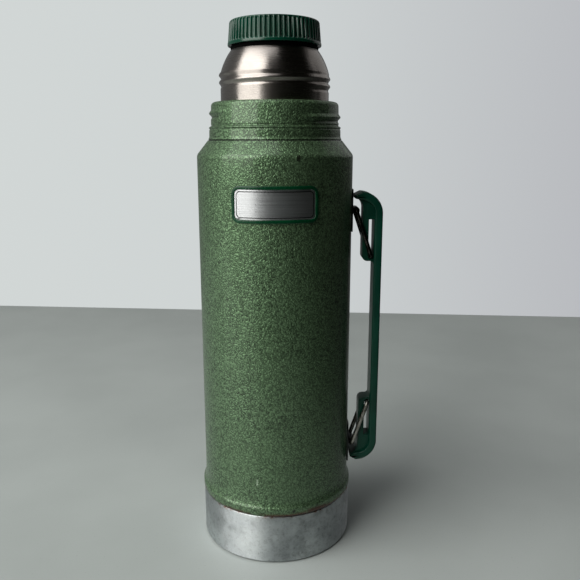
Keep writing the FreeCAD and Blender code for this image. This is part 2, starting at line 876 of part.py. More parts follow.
def make_stopper_cap():
    """Ribbed cap: hollow, with a smooth band at its foot and an inner web that holds the plug."""
    wall = s.cap_wall
    band_top = cap_bottom + s.cap_band_height
    rib_foot = band_top + s.cap_band_edge
    rib_end = cap_top - s.cap_rounding
    rib_top_radius = cap_band_radius - s.rib_top_step
    cap_bore = plug_radius + s.plug_flange + s.cap_bore_clearance
    body = turned("stopper_cap", [
        (plug_radius, cap_bottom),
        (cap_band_radius, cap_bottom),
        (cap_band_radius, band_top),
        (cap_band_radius - s.rib_foot_step, rib_foot),
        (rib_top_radius, rib_end),
        (rib_top_radius - s.cap_rounding, cap_top, s.cap_rounding),
        (0, cap_top),
        (0, cap_top - wall),
        (cap_bore, cap_top - wall),
        (cap_bore, cap_bottom + wall),
        (plug_radius, cap_bottom + wall),
    ])
    groove = plane_sketch(body, "rib_groove_outline", "XY_Plane", lift=rib_foot)
    root = s.rib_groove_root / 2
    mouth = s.rib_groove_mouth / 2
    draw(groove, [
        (cap_band_radius - s.rib_root_step, -root),
        (cap_band_radius + s.cut_margin, -mouth),
        (cap_band_radius + s.cut_margin, mouth),
        (cap_band_radius - s.rib_root_step, root),
    ])
    notch = body.newObject("PartDesign::Pocket", "rib_groove")
    notch.Profile = groove
    notch.Reversed = True
    bind(notch, "Length", rib_end - rib_foot)
    doc.recompute()
    ribs = body.newObject("PartDesign::PolarPattern", "ribs")
    ribs.Originals = [notch]
    ribs.Axis = (groove, ["N_Axis"])
    ribs.Angle = 360
    bind(ribs, "Occurrences", s.rib_count)
    body.Tip = ribs
    doc.recompute()
    return body


def make_stopper_plug():
    """Threaded hollow plug whose flange sits on the cap's inner web."""
    radius = plug_radius
    inner = radius - s.plug_wall
    bottom = mouth_height - s.plug_depth
    seat = cap_bottom + s.cap_wall
    flange = radius + s.plug_flange
    body = turned("stopper_plug", [
        (0, bottom),
        (radius - s.plug_chamfer, bottom),
        (radius, bottom + s.plug_chamfer),
        (radius, seat),
        (flange, seat),
        (flange, seat + s.plug_wall),
        (radius, seat + s.plug_wall),
        (radius, cap_top - s.cap_wall),
        (inner, cap_top - s.cap_wall),
        (inner, bottom + s.plug_wall),
        (0, bottom + s.plug_wall),
    ])
    start = bottom + s.plug_thread_start
    section = ridge_section(
        radius - s.stopper_thread_sink, radius + s.plug_thread_height,
        start, s.stopper_thread_width, s.stopper_thread_flat)
    helical_ridge(body, "plug_thread", section, s.stopper_lead, s.plug_thread_turns)
    return body


def make_stopper_core():
    """Foam that fills the plug."""
    inner = plug_radius - s.plug_wall
    bottom = mouth_height - s.plug_depth + s.plug_wall
    return turned("stopper_core", [
        (0, bottom),
        (inner, bottom),
        (inner, cap_top - s.cap_wall),
        (0, cap_top - s.cap_wall),
    ])


def make_stopper_gasket():
    """Ring round the plug that the cap presses on the mouth."""
    bore = plug_radius + s.gasket_fit
    outer = mouth_radius + s.gasket_overhang
    return turned("stopper_gasket", [
        (bore, mouth_height),
        (outer, mouth_height),
        (outer, cap_bottom),
        (bore, cap_bottom),
    ])


def check(parts):
    """Stop if any object of the document failed, or if a sub-part has no sound shape."""
    for item in doc.Objects:
        if "Invalid" in item.State or "Error" in item.State:
            raise RuntimeError(f"{item.Label}: {item.State}")
    for part in parts:
        if part.Shape.isNull() or not part.Shape.isValid():
            raise RuntimeError(f"{part.Label}: no sound shape")
        print(f"{part.Label}: {len(part.Shape.Solids)} solid, {part.Shape.Volume / 1000:.2f} cm3")


def main():
    """Build every sub-part, check it and write its STEP file."""
    parts = [
        make_jacket(),
        make_base_cup(),
        make_collar(),
        make_neck_shell(),
        make_liner(),
        make_jacket_bottom(),
        make_pump_tip(),
        make_getter(),
        make_liner_support(),
        make_base_pad(),
        make_badge_frame(),
        make_badge_plate(),
        make_bracket("upper_bracket", 1),
        make_bracket("lower_bracket", -1),
        make_bail("upper_bail", 1),
        make_bail("lower_bail", -1),
        make_handle(),
        make_stopper_cap(),
        make_stopper_plug(),
        make_stopper_core(),
        make_stopper_gasket(),
    ]
    doc.recompute()
    check(parts)
    os.makedirs("parts", exist_ok=True)
    for part in parts:
        part.Shape.exportStep(f"parts/{part.Label}.step")


main()
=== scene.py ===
"""Looks of the steel vacuum bottle: its surfaces, finishes, light and camera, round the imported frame.

+Z is up, -Y the front with the badge and +X the side of the handle. The bottle's lengths are in
millimetres; those of the table, the lamps and the camera are in metres.
"""
import json
import math

import bpy
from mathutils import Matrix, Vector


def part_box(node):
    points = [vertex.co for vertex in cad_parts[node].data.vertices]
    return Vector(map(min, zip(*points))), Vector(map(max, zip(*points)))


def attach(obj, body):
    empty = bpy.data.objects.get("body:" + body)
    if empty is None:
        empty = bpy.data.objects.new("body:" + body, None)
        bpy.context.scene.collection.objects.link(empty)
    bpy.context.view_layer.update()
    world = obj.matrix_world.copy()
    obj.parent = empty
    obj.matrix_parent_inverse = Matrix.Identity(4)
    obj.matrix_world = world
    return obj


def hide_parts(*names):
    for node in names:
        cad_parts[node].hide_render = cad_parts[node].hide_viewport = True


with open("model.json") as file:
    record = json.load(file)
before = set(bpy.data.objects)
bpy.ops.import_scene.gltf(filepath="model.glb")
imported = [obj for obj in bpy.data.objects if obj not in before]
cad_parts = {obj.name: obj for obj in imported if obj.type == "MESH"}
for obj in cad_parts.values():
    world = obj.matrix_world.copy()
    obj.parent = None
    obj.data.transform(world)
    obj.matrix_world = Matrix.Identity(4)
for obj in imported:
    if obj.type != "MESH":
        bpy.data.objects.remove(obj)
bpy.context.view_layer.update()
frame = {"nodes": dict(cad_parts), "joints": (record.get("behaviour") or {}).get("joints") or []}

MM = 0.001
TURN = 2 * math.pi
X, Y, Z = 0, 1, 2


# ---------------------------------------------------------------------------------------------
# Sizes: from the frame, where a CAD node or a joint gives them
# ---------------------------------------------------------------------------------------------

def reach_of(node, axis):
    """Lowest and highest place of a CAD node at rest along an axis."""
    low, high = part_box(node)
    return round(low[axis] / MM, 3), round(high[axis] / MM, 3)


def place_of(name):
    """Where a joint sits at rest."""
    joint = next(joint for joint in frame["joints"] if joint["name"] == name)
    return [round(place / MM, 3) for place in joint["pos_m"]]


BODY_RADIUS = 48.0
NECK_RADIUS = 32.7
TUBE_OUTER = 23.8
DOME_HEIGHT = 13.5
SHEET = 0.8
SHOULDER_HEIGHT = 8.7
WIRE = 1.4
PIN_CLEARANCE = 0.3
BAND_THICKNESS = 5.0

BASE_RADIUS = -reach_of("base_cup", X)[0]
BASE_HEIGHT = reach_of("base_cup", Z)[1]
JACKET_FOOT, JACKET_TOP = reach_of("body_jacket", Z)
COLLAR_TOP = reach_of("cup_thread_collar", Z)[1]
MOUTH = reach_of("neck_shell", Z)[1]
DOME_FOOT = MOUTH - DOME_HEIGHT
CAP_BOTTOM, CAP_TOP = reach_of("stopper_cap", Z)
CAP_RADIUS = -reach_of("stopper_cap", X)[0]

HANDLE_BOTTOM, HANDLE_TOP = reach_of("handle", Z)
HANDLE_CENTRE = (HANDLE_BOTTOM + HANDLE_TOP) / 2
HANDLE_REACH = HANDLE_TOP - HANDLE_CENTRE
HANDLE_WIDTH = reach_of("handle", Y)[1] * 2
OUTER_FACE = reach_of("handle", X)[1]
INNER_FACE = OUTER_FACE - BAND_THICKNESS
PIN_X = place_of("handle_swing")[X]
PIN_OFFSET = place_of("handle_swing")[Z] - HANDLE_CENTRE
PIVOT_X = place_of("upper_bail_swing")[X]
PIVOT_OFFSET = place_of("upper_bail_swing")[Z] - HANDLE_CENTRE

BADGE_FACING = -math.pi / 2
BADGE_CENTRE = sum(reach_of("badge_plate", Z)) / 2
BADGE_WIDTH = 51.0
BADGE_HEIGHT = 20.9


# ---------------------------------------------------------------------------------------------
# Outlines
# ---------------------------------------------------------------------------------------------

def arc(start, end, radius, steps):
    """Points of the shorter arc from start to end, without start. Positive radii turn left."""
    middle = ((start[0] + end[0]) / 2, (start[1] + end[1]) / 2)
    half = ((end[0] - start[0]) / 2, (end[1] - start[1]) / 2)
    length = math.hypot(*half)
    height = math.copysign(math.sqrt(max(radius * radius - length * length, 0.0)), radius)
    centre = (middle[0] - half[1] / length * height, middle[1] + half[0] / length * height)
    first = math.atan2(start[1] - centre[1], start[0] - centre[0])
    last = math.atan2(end[1] - centre[1], end[0] - centre[0])
    sweep = (last - first + math.pi) % TURN - math.pi
    size = abs(radius)
    return [(centre[0] + size * math.cos(first + sweep * step / steps),
             centre[1] + size * math.sin(first + sweep * step / steps)) for step in range(1, steps + 1)]


def rounded(corners, closed=True, steps=5):
    """A polygon of (x, y) or (x, y, rounding) corners, with each rounding drawn as an arc."""
    points = []
    count = len(corners)
    for index, corner in enumerate(corners):
        x, y = corner[0], corner[1]
        radius = corner[2] if len(corner) > 2 else 0.0
        end_corner = not closed and index in (0, count - 1)
        if radius <= 0 or end_corner:
            points.append((x, y))
            continue
        before, after = corners[index - 1], corners[(index + 1) % count]
        to_before = (before[0] - x, before[1] - y)
        to_after = (after[0] - x, after[1] - y)
        length_before, length_after = math.hypot(*to_before), math.hypot(*to_after)
        unit_before = (to_before[0] / length_before, to_before[1] / length_before)
        unit_after = (to_after[0] / length_after, to_after[1] / length_after)
        cosine = unit_before[0] * unit_after[0] + unit_before[1] * unit_after[1]
        angle = math.acos(max(-1.0, min(1.0, cosine)))
        if abs(math.pi - angle) < 1e-3:
            points.append((x, y))
            continue
        reach = min(radius / math.tan(angle / 2), length_before * 0.49, length_after * 0.49)
        size = reach * math.tan(angle / 2)
        start = (x + unit_before[0] * reach, y + unit_before[1] * reach)
        end = (x + unit_after[0] * reach, y + unit_after[1] * reach)
        cross = unit_before[0] * unit_after[1] - unit_before[1] * unit_after[0]
        points.append(start)
        points.extend(arc(start, end, size if cross < 0 else -size, steps))
    return points


def spaced(points, step, closed=True):
    """The outline with points added so that no side is longer than step."""
    result = []
    count = len(points)
    for index in range(count if closed else count - 1):
        start, end = points[index], points[(index + 1) % count]
        parts = max(1, math.ceil(math.dist(start, end) / step))
        for part in range(parts):
            share = part / parts
            x = start[0] + (end[0] - start[0]) * share
            y = start[1] + (end[1] - start[1]) * share
            result.append((x, y))
    if not closed:
        result.append(points[-1])
    return result


# ---------------------------------------------------------------------------------------------
# Meshes
# ---------------------------------------------------------------------------------------------

def add_piece(name, vertices, faces, body, material, replaced=(), sharp=35.0):
    """A mesh piece, given in millimetres, that rides on a body and stands for CAD nodes.

    Edges that bend by more than sharp, in degrees, are shaded as creases.
    """
    mesh = bpy.data.meshes.new(name)
    mesh.from_pydata([(x * MM, y * MM, z * MM) for x, y, z in vertices], [], faces)
    mesh.validate()
    mesh.update()
    mesh.shade_smooth()
    mesh.set_sharp_from_angle(angle=math.radians(sharp))
    piece = bpy.data.objects.new(name, mesh)
    bpy.context.collection.objects.link(piece)
    mesh.materials.append(material)
    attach(piece, body)
    if replaced:
        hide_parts(*replaced)
    return piece


def grid_faces(rows, columns, closed_rows=True):
    """Quads between the points of a grid, given row after row, each row being a closed ring."""
    faces = []
    for row in range(rows if closed_rows else rows - 1):
        for column in range(columns):
            next_row, next_column = (row + 1) % rows, (column + 1) % columns
            faces.append((row * columns + column, next_row * columns + column,
                          next_row * columns + next_column, row * columns + next_column))
    return faces


def lathe(name, outline, body, material, replaced, segments, swell=None, sharp=35.0):
    """Turn a closed outline of (radius, height) points about the Z axis.

    Points on the axis are shared. swell(angle, radius, height) gives how far a point stands out.
    """
    vertices = []
    faces = []
    rings = []
    for radius, height in outline:
        if radius < 1e-6:
            vertices.append((0.0, 0.0, height))
            rings.append([len(vertices) - 1] * segments)
            continue
        ring = []
        for segment in range(segments):
            angle = TURN * segment / segments
            out = radius + (swell(angle, radius, height) if swell else 0.0)
            ring.append(len(vertices))
            vertices.append((out * math.cos(angle), out * math.sin(angle), height))
        rings.append(ring)
    for index, ring in enumerate(rings):
        following = rings[(index + 1) % len(rings)]
        if ring[0] == ring[1] and following[0] == following[1]:
            continue
        for segment in range(segments):
            other = (segment + 1) % segments
            corners = [ring[segment], ring[other], following[other], following[segment]]
            faces.append(tuple(dict.fromkeys(corners)))
    return add_piece(name, vertices, faces, body, material, replaced, sharp)


def swept(name, route, section, body, material, replaced=(), closed=True, sharp=35.0):
    """Sweep a closed section along a route of (point, across, up) frames."""
    vertices = []
    for point, across, up in route:
        for a, b in section:
            vertices.append(tuple(point[i] + across[i] * a + up[i] * b for i in range(3)))
    columns = len(section)
    faces = grid_faces(len(route), columns, closed_rows=closed)
    if not closed:
        faces.append(tuple(range(columns)))
        faces.append(tuple(range(len(vertices) - 1, len(vertices) - 1 - columns, -1)))
    return add_piece(name, vertices, faces, body, material, replaced, sharp)


def slab(name, outlines, width, bevel, body, material, replaced=()):
    """A plate in the XZ plane, centred on it: the first outline is its edge, the others are holes."""
    curve = bpy.data.curves.new(name, "CURVE")
    curve.dimensions = "2D"
    curve.fill_mode = "BOTH"
    curve.extrude = (width / 2 - bevel) * MM
    curve.bevel_depth = bevel * MM
    curve.bevel_resolution = 4
    curve.offset = -bevel * MM
    for outline in outlines:
        spline = curve.splines.new("POLY")
        spline.points.add(len(outline) - 1)
        for point, (x, z) in zip(spline.points, outline):
            point.co = (x * MM, z * MM, 0, 1)
        spline.use_cyclic_u = True
    shape = bpy.data.objects.new(name + "_curve", curve)
    bpy.context.collection.objects.link(shape)
    mesh = bpy.data.meshes.new_from_object(shape)
    bpy.data.objects.remove(shape)
    vertices = [(v.co.x / MM, -v.co.z / MM, v.co.y / MM) for v in mesh.vertices]
    faces = [tuple(face.vertices) for face in mesh.polygons]
    bpy.data.meshes.remove(mesh)
    piece = add_piece(name, vertices, faces, body, material, replaced, sharp=30.0)
    weld = piece.modifiers.new("weld", "WELD")
    weld.merge_threshold = 0.01 * MM
    return piece


def on_jacket(angle, height, out):
    """A point at an angle about the axis, in radians from +X, out millimetres off the jacket."""
    radius = BODY_RADIUS + out
    return (radius * math.cos(angle), radius * math.sin(angle), height)


def curved_plate(name, facing, centre, width, height, corner, thick, edge, body, material,
                 replaced):
    """A plate with rounded corners, wrapped on the jacket, with its outer edge rounded by edge."""
    gap = 0.02
    columns = 64
    rows = 10
    vertices = []

    def half_height(x, inset):
        straight = width / 2 - corner
        reach = corner - inset
        past = max(0.0, abs(x) - straight)
        if past <= 0:
            return height / 2 - inset
        return height / 2 - corner + math.sqrt(max(reach * reach - past * past, 0.0))

    def layer(inset, out):
        first = len(vertices)
        for column in range(columns + 1):
            # Columns crowd towards the ends, where the corners are.
            share = math.sin((column / columns - 0.5) * math.pi)
            x = share * (width / 2 - inset)
            tall = half_height(x, inset)
            for row in range(rows + 1):
                level = centre + tall * (2 * row / rows - 1)
                vertices.append(on_jacket(facing + x / BODY_RADIUS, level, out))
        return first

    def rim(first):
        side = rows + 1
        loop = [first + column * side for column in range(columns + 1)]
        loop += [first + columns * side + row for row in range(1, rows + 1)]
        loop += [first + column * side + rows for column in range(columns - 1, -1, -1)]
        loop += [first + row for row in range(rows - 1, 0, -1)]
        return loop

    faces = []
    layers = [(0.0, gap), (0.0, thick - edge)]
    layers += [(edge * (1 - math.cos(turn)), thick - edge + edge * math.sin(turn))
               for turn in (math.pi / 8, math.pi / 4, math.pi * 3 / 8, math.pi / 2)]
    starts = [layer(inset, out) for inset, out in layers]
    rims = [rim(start) for start in starts]
    for low, high in zip(rims, rims[1:]):
        for index in range(len(low)):
            other = (index + 1) % len(low)
            faces.append((low[index], low[other], high[other], high[index]))
    for start, flip in ((starts[0], True), (starts[-1], False)):
        for column in range(columns):
            for row in range(rows):
                a = start + column * (rows + 1) + row
                quad = (a, a + rows + 1, a + rows + 2, a + 1)
                faces.append(quad[::-1] if flip else quad)
    used = sorted({index for face in faces for index in face})
    order = {index: place for place, index in enumerate(used)}
    faces = [tuple(order[index] for index in face) for face in faces]
    vertices = [vertices[index] for index in used]
    piece = add_piece(name, vertices, faces, body, material, replaced)
    weld = piece.modifiers.new("weld", "WELD")
    weld.merge_threshold = 0.002 * MM
    return piece


def rounded_rectangle(width, height, corner):
    """Points at most 0.8 apart round a rectangle with rounded corners, centred on the origin."""
    x, y = width / 2, height / 2
    corners = [(x, -y, corner), (x, y, corner), (-x, y, corner), (-x, -y, corner)]
    return spaced(rounded(corners, steps=10), 0.8)


def jacket_route(loop, facing, centre):
    """Sweep frames along a loop wrapped on the jacket: across lies in the surface, up stands on it."""
    route = []
    count = len(loop)
    for index, (x, y) in enumerate(loop):
        before, after = loop[index - 1], loop[(index + 1) % count]
        along = (after[0] - before[0], after[1] - before[1])
        size = math.hypot(*along)
        side = (along[1] / size, -along[0] / size)
        angle = facing + x / BODY_RADIUS
        tangent = (-math.sin(angle), math.cos(angle), 0.0)
        up = (math.cos(angle), math.sin(angle), 0.0)
        across = tuple(tangent[i] * side[0] + (0, 0, 1)[i] * side[1] for i in range(3))
        route.append((on_jacket(angle, centre + y, 0.0), across, up))
    return route


# ---------------------------------------------------------------------------------------------
# Materials
# ---------------------------------------------------------------------------------------------

def srgb(red, green, blue):
    """A colour given as 0-255 sRGB, as linear RGBA."""
    def linear(value):
        value /= 255
        return value / 12.92 if value <= 0.04045 else ((value + 0.055) / 1.055) ** 2.4
    return (linear(red), linear(green), linear(blue), 1.0)


class Nodes:
    """A material's node tree, with short calls for the nodes used here."""

    def __init__(self, name):
        self.material = bpy.data.materials.new(name)
        self.material.use_nodes = True
        self.tree = self.material.node_tree
        self.shader = self.tree.nodes["Principled BSDF"]
        self.place = self.add("ShaderNodeTexCoord").outputs["Object"]

    def add(self, kind, **settings):
        node = self.tree.nodes.new(kind)
        for key, value in settings.items():
            setattr(node, key, value)
        return node

    def link(self, output, socket):
        self.tree.links.new(output, socket)

    def set(self, **values):
        for key, value in values.items():
            self.shader.inputs[key.replace("_", " ")].default_value = value

    def stretched(self, scale):
        """The object's coordinates, scaled by three factors."""
        mapping = self.add("ShaderNodeMapping")
        mapping.inputs["Scale"].default_value = scale
        self.link(self.place, mapping.inputs["Vector"])
        return mapping.outputs["Vector"]

    def noise(self, scale, detail=2.0, roughness=0.5, distortion=0.0, vector=None):
        """Noise of about scale waves to the unit, which is a metre or the given vector's own."""
        node = self.add("ShaderNodeTexNoise")
        node.inputs["Scale"].default_value = scale
        node.inputs["Detail"].default_value = detail
        node.inputs["Roughness"].default_value = roughness
        node.inputs["Distortion"].default_value = distortion
        self.link(vector or self.place, node.inputs["Vector"])
        return node.outputs["Fac"]

    def ramp(self, value, *stops):
        """A colour ramp through (position, colour or grey) stops."""
        node = self.add("ShaderNodeValToRGB")
        elements = node.color_ramp.elements
        while len(elements) < len(stops):
            elements.new(0.5)
        for element, (position, colour) in zip(elements, stops):
            element.position = position
            element.color = colour if isinstance(colour, tuple) else (colour, colour, colour, 1.0)
        self.link(value, node.inputs["Fac"])
        return node.outputs["Color"]

    def span(self, value, low, high, to_low=0.0, to_high=1.0):
        """The range from low to high, carried over to the range from to_low to to_high."""
        node = self.add("ShaderNodeMapRange")
        node.inputs["From Min"].default_value = low
        node.inputs["From Max"].default_value = high
        node.inputs["To Min"].default_value = to_low
        node.inputs["To Max"].default_value = to_high
        self.link(value, node.inputs["Value"])
        return node.outputs["Result"]

    def maths(self, operation, first, second):
        node = self.add("ShaderNodeMath", operation=operation)
        for socket, value in zip(node.inputs, (first, second)):
            if isinstance(value, (int, float)):
                socket.default_value = value
            else:
                self.link(value, socket)
        return node.outputs["Value"]

    def mix(self, share, first, second):
        node = self.add("ShaderNodeMix", data_type="RGBA")
        sockets = [s for s in node.inputs if s.enabled]
        for socket, value in zip(sockets, (share, first, second)):
            if isinstance(value, (int, float, tuple)):
                socket.default_value = value
            else:
                self.link(value, socket)
        return [o for o in node.outputs if o.enabled][0]

    def away(self, value, middle):
        """How far a value is from the middle, on either side."""
        return self.maths("ABSOLUTE", self.maths("SUBTRACT", value, middle), 0.0)

    def axis(self, name):
        """One of the object's coordinates, in millimetres."""
        node = self.add("ShaderNodeSeparateXYZ")
        self.link(self.stretched((1 / MM, 1 / MM, 1 / MM)), node.inputs["Vector"])
        return node.outputs[name]

    def radius(self):
        """Distance from the bottle's axis, in millimetres."""
        node = self.add("ShaderNodeVectorMath", operation="LENGTH")
        self.link(self.stretched((1 / MM, 1 / MM, 0)), node.inputs[0])
        return node.outputs["Value"]

    def spot(self, point, reach, tall=1.0):
        """1 at a point, given in millimetres, and 0 past a ragged border at reach, times tall upwards."""
        x, y, z = point
        distance = self.add("ShaderNodeVectorMath", operation="DISTANCE")
        self.link(self.stretched((1 / MM, 1 / MM, 1 / MM / tall)), distance.inputs[0])
        distance.inputs[1].default_value = (x, y, z / tall)
        wander = self.span(self.noise(1300, detail=2), 0.3, 0.7, 0.0, 0.4 * reach)
        border = self.maths("ADD", distance.outputs["Value"], wander)
        return self.span(border, 0.7 * reach, reach, 1.0, 0.0)

    def bump(self, height, distance, strength=1.0):
        """Relief that stands distance millimetres high where height is 1, over any before it."""
        node = self.add("ShaderNodeBump")
        node.inputs["Distance"].default_value = distance * MM
        node.inputs["Strength"].default_value = strength
        self.link(height, node.inputs["Height"])
        previous = self.shader.inputs["Normal"].links
        if previous:
            self.link(previous[0].from_socket, node.inputs["Normal"])
        self.link(node.outputs["Normal"], self.shader.inputs["Normal"])

    def brushed_round(self, amount):
        """Shine stretched across strokes that run round the bottle's axis."""
        self.set(Anisotropic=amount, Anisotropic_Rotation=0.25)
        tangent = self.add("ShaderNodeTangent", direction_type="RADIAL", axis="Z")
        self.link(tangent.outputs["Tangent"], self.shader.inputs["Tangent"])

    def colour(self, output):
        self.link(output, self.shader.inputs["Base Color"])

    def roughness(self, output):
        self.link(output, self.shader.inputs["Roughness"])


def hammertone():
    """Green enamel with the wormy creases of hammered paint, chipped, and rusted at the lower seam."""
    n = Nodes("hammertone_green")
    height = n.axis("Z")

    # Folded about its middle, the noise is lowest along winding creases.
    lumps = n.span(n.away(n.noise(660, detail=1.0, roughness=0.4, distortion=0.4), 0.5), 0.0, 0.25)
    # The ramp's dark end paints shade into the creases.
    tone = n.ramp(lumps, (0.0, srgb(26, 38, 23)), (0.24, srgb(86, 113, 81)), (0.6, srgb(108, 138, 102)))
    patches = n.span(n.noise(28, detail=3), 0.35, 0.65, 0.0, 0.3)
    tone = n.mix(patches, tone, srgb(90, 118, 84))

    # Rust at the seam with the base: in patches all round, and thicker in front on the right.
    worn = n.span(n.noise(70, detail=4, roughness=0.7), 0.40, 0.50)
    at_seam = n.span(height, BASE_HEIGHT + 0.8, BASE_HEIGHT + 3.0, 1.0, 0.0)
    tone = n.mix(n.maths("MULTIPLY", at_seam, worn), tone, srgb(74, 36, 18))
    below_bead = n.span(height, BASE_HEIGHT + 2.3, BASE_HEIGHT + 4.3, 0.9, 0.0)
    thick = n.spot((25.5, -42.5, BASE_HEIGHT + 2.3), 11.0)
    tone = n.mix(n.maths("MULTIPLY", thick, below_bead), tone, srgb(70, 34, 18))

    # Dirt in the joint between jacket and collar, and painted shade in the root of the cup's thread.
    joint = n.span(n.away(height, JACKET_TOP + 0.1), 0.25, 0.5, 1.0, 0.0)
    tone = n.mix(joint, tone, srgb(16, 20, 12))
    above_groove = n.span(height, JACKET_TOP + 8.5, JACKET_TOP + 9.1)
    below_crest = n.span(height, JACKET_TOP + 13.5, JACKET_TOP + 14.1, 1.0, 0.0)
    in_root = n.span(n.radius(), 38.3, 38.6, 0.75, 0.0)
    root_shade = n.maths("MULTIPLY", in_root, n.maths("MULTIPLY", above_groove, below_crest))
    tone = n.mix(root_shade, tone, srgb(14, 18, 12))

    shoulder_chip = n.spot((13.37, -46.22, 250.74), 1.8, tall=1.6)
    bead_chip = n.spot((10.6, -48.6, 35.8), 1.6)
    chips = n.maths("MAXIMUM", shoulder_chip, bead_chip)
    tone = n.mix(n.maths("MULTIPLY", chips, 0.85), tone, srgb(22, 22, 14))
    scrape = n.spot((-11.8, -46.5, 54.3), 0.9, tall=4.0)
    tone = n.mix(n.maths("MULTIPLY", scrape, 0.7), tone, srgb(176, 196, 172))

    n.colour(tone)
    n.set(Metallic=0.65, Specular_IOR_Level=0.5, Coat_Weight=0.5, Coat_Roughness=0.15)
    n.roughness(n.span(lumps, 0.0, 0.5, 0.52, 0.44))
    n.bump(lumps, 0.21)
    return n.material


def turned_steel():
    """Bare neck: polished round and round, so streaks run level."""
    n = Nodes("turned_steel")
    streaks = n.noise(1.0, detail=3, roughness=0.6, vector=n.stretched((60, 60, 9000)))
    clouds = n.noise(45, detail=4, roughness=0.6)
    n.colour(n.mix(n.span(clouds, 0.35, 0.7, 0.0, 0.5), srgb(164, 158, 153), srgb(132, 125, 121)))
    n.set(Metallic=1.0)
    n.brushed_round(0.8)
    dull = n.span(clouds, 0.3, 0.7, 0.0, 0.08)
    n.roughness(n.maths("ADD", n.span(streaks, 0.3, 0.7, 0.20, 0.30), dull))
    n.bump(streaks, 0.02, 0.5)
    return n.material


def satin_steel():
    """Bare base cup: dull, mottled and stained, with fine scratches and rust at its upper edge."""
    n = Nodes("satin_steel")
    clouds = n.noise(36, detail=6, roughness=0.65)
    stains = n.noise(120, detail=6, roughness=0.75)
    mottle = n.noise(420, detail=4, roughness=0.7)
    level = n.noise(1.0, detail=3, roughness=0.65, vector=n.stretched((70, 70, 2600)))
    slanted = n.noise(1.0, detail=3, roughness=0.6, vector=n.stretched((1500, 1500, 90)))
    tone = n.mix(n.span(clouds, 0.35, 0.65), srgb(216, 221, 222), srgb(172, 177, 180))
    tone = n.mix(n.span(stains, 0.50, 0.68, 0.0, 0.4), tone, srgb(112, 116, 116))
    tone = n.mix(n.span(mottle, 0.52, 0.72, 0.0, 0.45), tone, srgb(120, 122, 122))
    at_edge = n.span(n.axis("Z"), BASE_HEIGHT - 1.6, BASE_HEIGHT)
    rust = n.maths("MULTIPLY", at_edge, n.span(stains, 0.50, 0.60))
    n.colour(n.mix(rust, tone, srgb(128, 84, 56)))
    n.set(Metallic=1.0)
    n.brushed_round(0.85)
    scratch = n.maths("ADD", n.maths("MULTIPLY", level, 0.7), n.maths("MULTIPLY", slanted, 0.3))
    dull = n.maths("ADD", n.span(clouds, 0.3, 0.7, 0.38, 0.48), n.span(mottle, 0.35, 0.65, -0.05, 0.07))
    n.roughness(n.maths("ADD", dull, n.span(scratch, 0.35, 0.65, -0.05, 0.05)))
    n.bump(scratch, 0.03, 0.6)
    n.bump(clouds, 0.4, 0.25)
    return n.material


def moulded(name, dark, light, roughness, shine, grain=900):
    """Moulded plastic: a little uneven in tone and gloss, with scuffs."""
    n = Nodes(name)
    clouds = n.noise(50, detail=4)
    grains = n.noise(grain, detail=2)
    scuffs = n.noise(1.0, detail=4, roughness=0.7, vector=n.stretched((420, 420, 60)))
    tone = n.mix(n.span(clouds, 0.35, 0.7), dark, light)
    n.colour(n.mix(n.span(scuffs, 0.66, 0.78, 0.0, 0.35), tone, light))
    n.set(Specular_IOR_Level=shine)
    n.roughness(n.maths("ADD", n.span(clouds, 0.3, 0.7, roughness - 0.04, roughness + 0.05),
                        n.span(scuffs, 0.5, 0.8, 0.0, 0.12)))
    n.bump(grains, 0.03, 0.5)
    return n.material


def worn_wire(name, dark, bright, wear):
    """Drawn wire: dark where it is tarnished, bright where it is rubbed, the more so with more wear. Its
    colours also carry painted light and shade: darker for the upper bail, lighter for the lower.
    """
    n = Nodes(name)
    patches = n.noise(160, detail=5, roughness=0.65)
    tone = n.mix(n.span(patches, wear - 0.08, wear + 0.08), bright, dark)
    n.colour(tone)
    n.set(Metallic=1.0)
    n.roughness(n.span(patches, 0.35, 0.7, 0.24, 0.48))
    n.bump(patches, 0.08, 0.4)
    return n.material


def brushed_plate():
    """Badge's bare face: brushed along its length, a few specks of age."""
    n = Nodes("badge_face")
    strokes = n.noise(1.0, detail=4, roughness=0.7, vector=n.stretched((30, 30, 5200)))
    specks = n.noise(520, detail=3)
    tone = n.mix(n.span(strokes, 0.35, 0.65), srgb(176, 178, 180), srgb(206, 208, 210))
    n.colour(n.mix(n.span(specks, 0.70, 0.76, 0.0, 0.7), tone, srgb(96, 98, 98)))
    n.set(Metallic=1.0)
    n.brushed_round(0.8)
    n.roughness(n.span(strokes, 0.3, 0.7, 0.34, 0.46))
    n.bump(strokes, 0.02, 0.5)
    return n.material


def plain(name, dark, light, metallic, roughness, scale=120, shine=0.5):
    """A quiet two-tone finish for small and hidden parts."""
    n = Nodes(name)
    clouds = n.noise(scale, detail=4)
    n.colour(n.mix(n.span(clouds, 0.35, 0.65), dark, light))
    n.set(Metallic=metallic, Specular_IOR_Level=shine)
    n.roughness(n.span(clouds, 0.3, 0.7, roughness - 0.05, roughness + 0.07))
    n.bump(clouds, 0.05, 0.4)
    return n.material


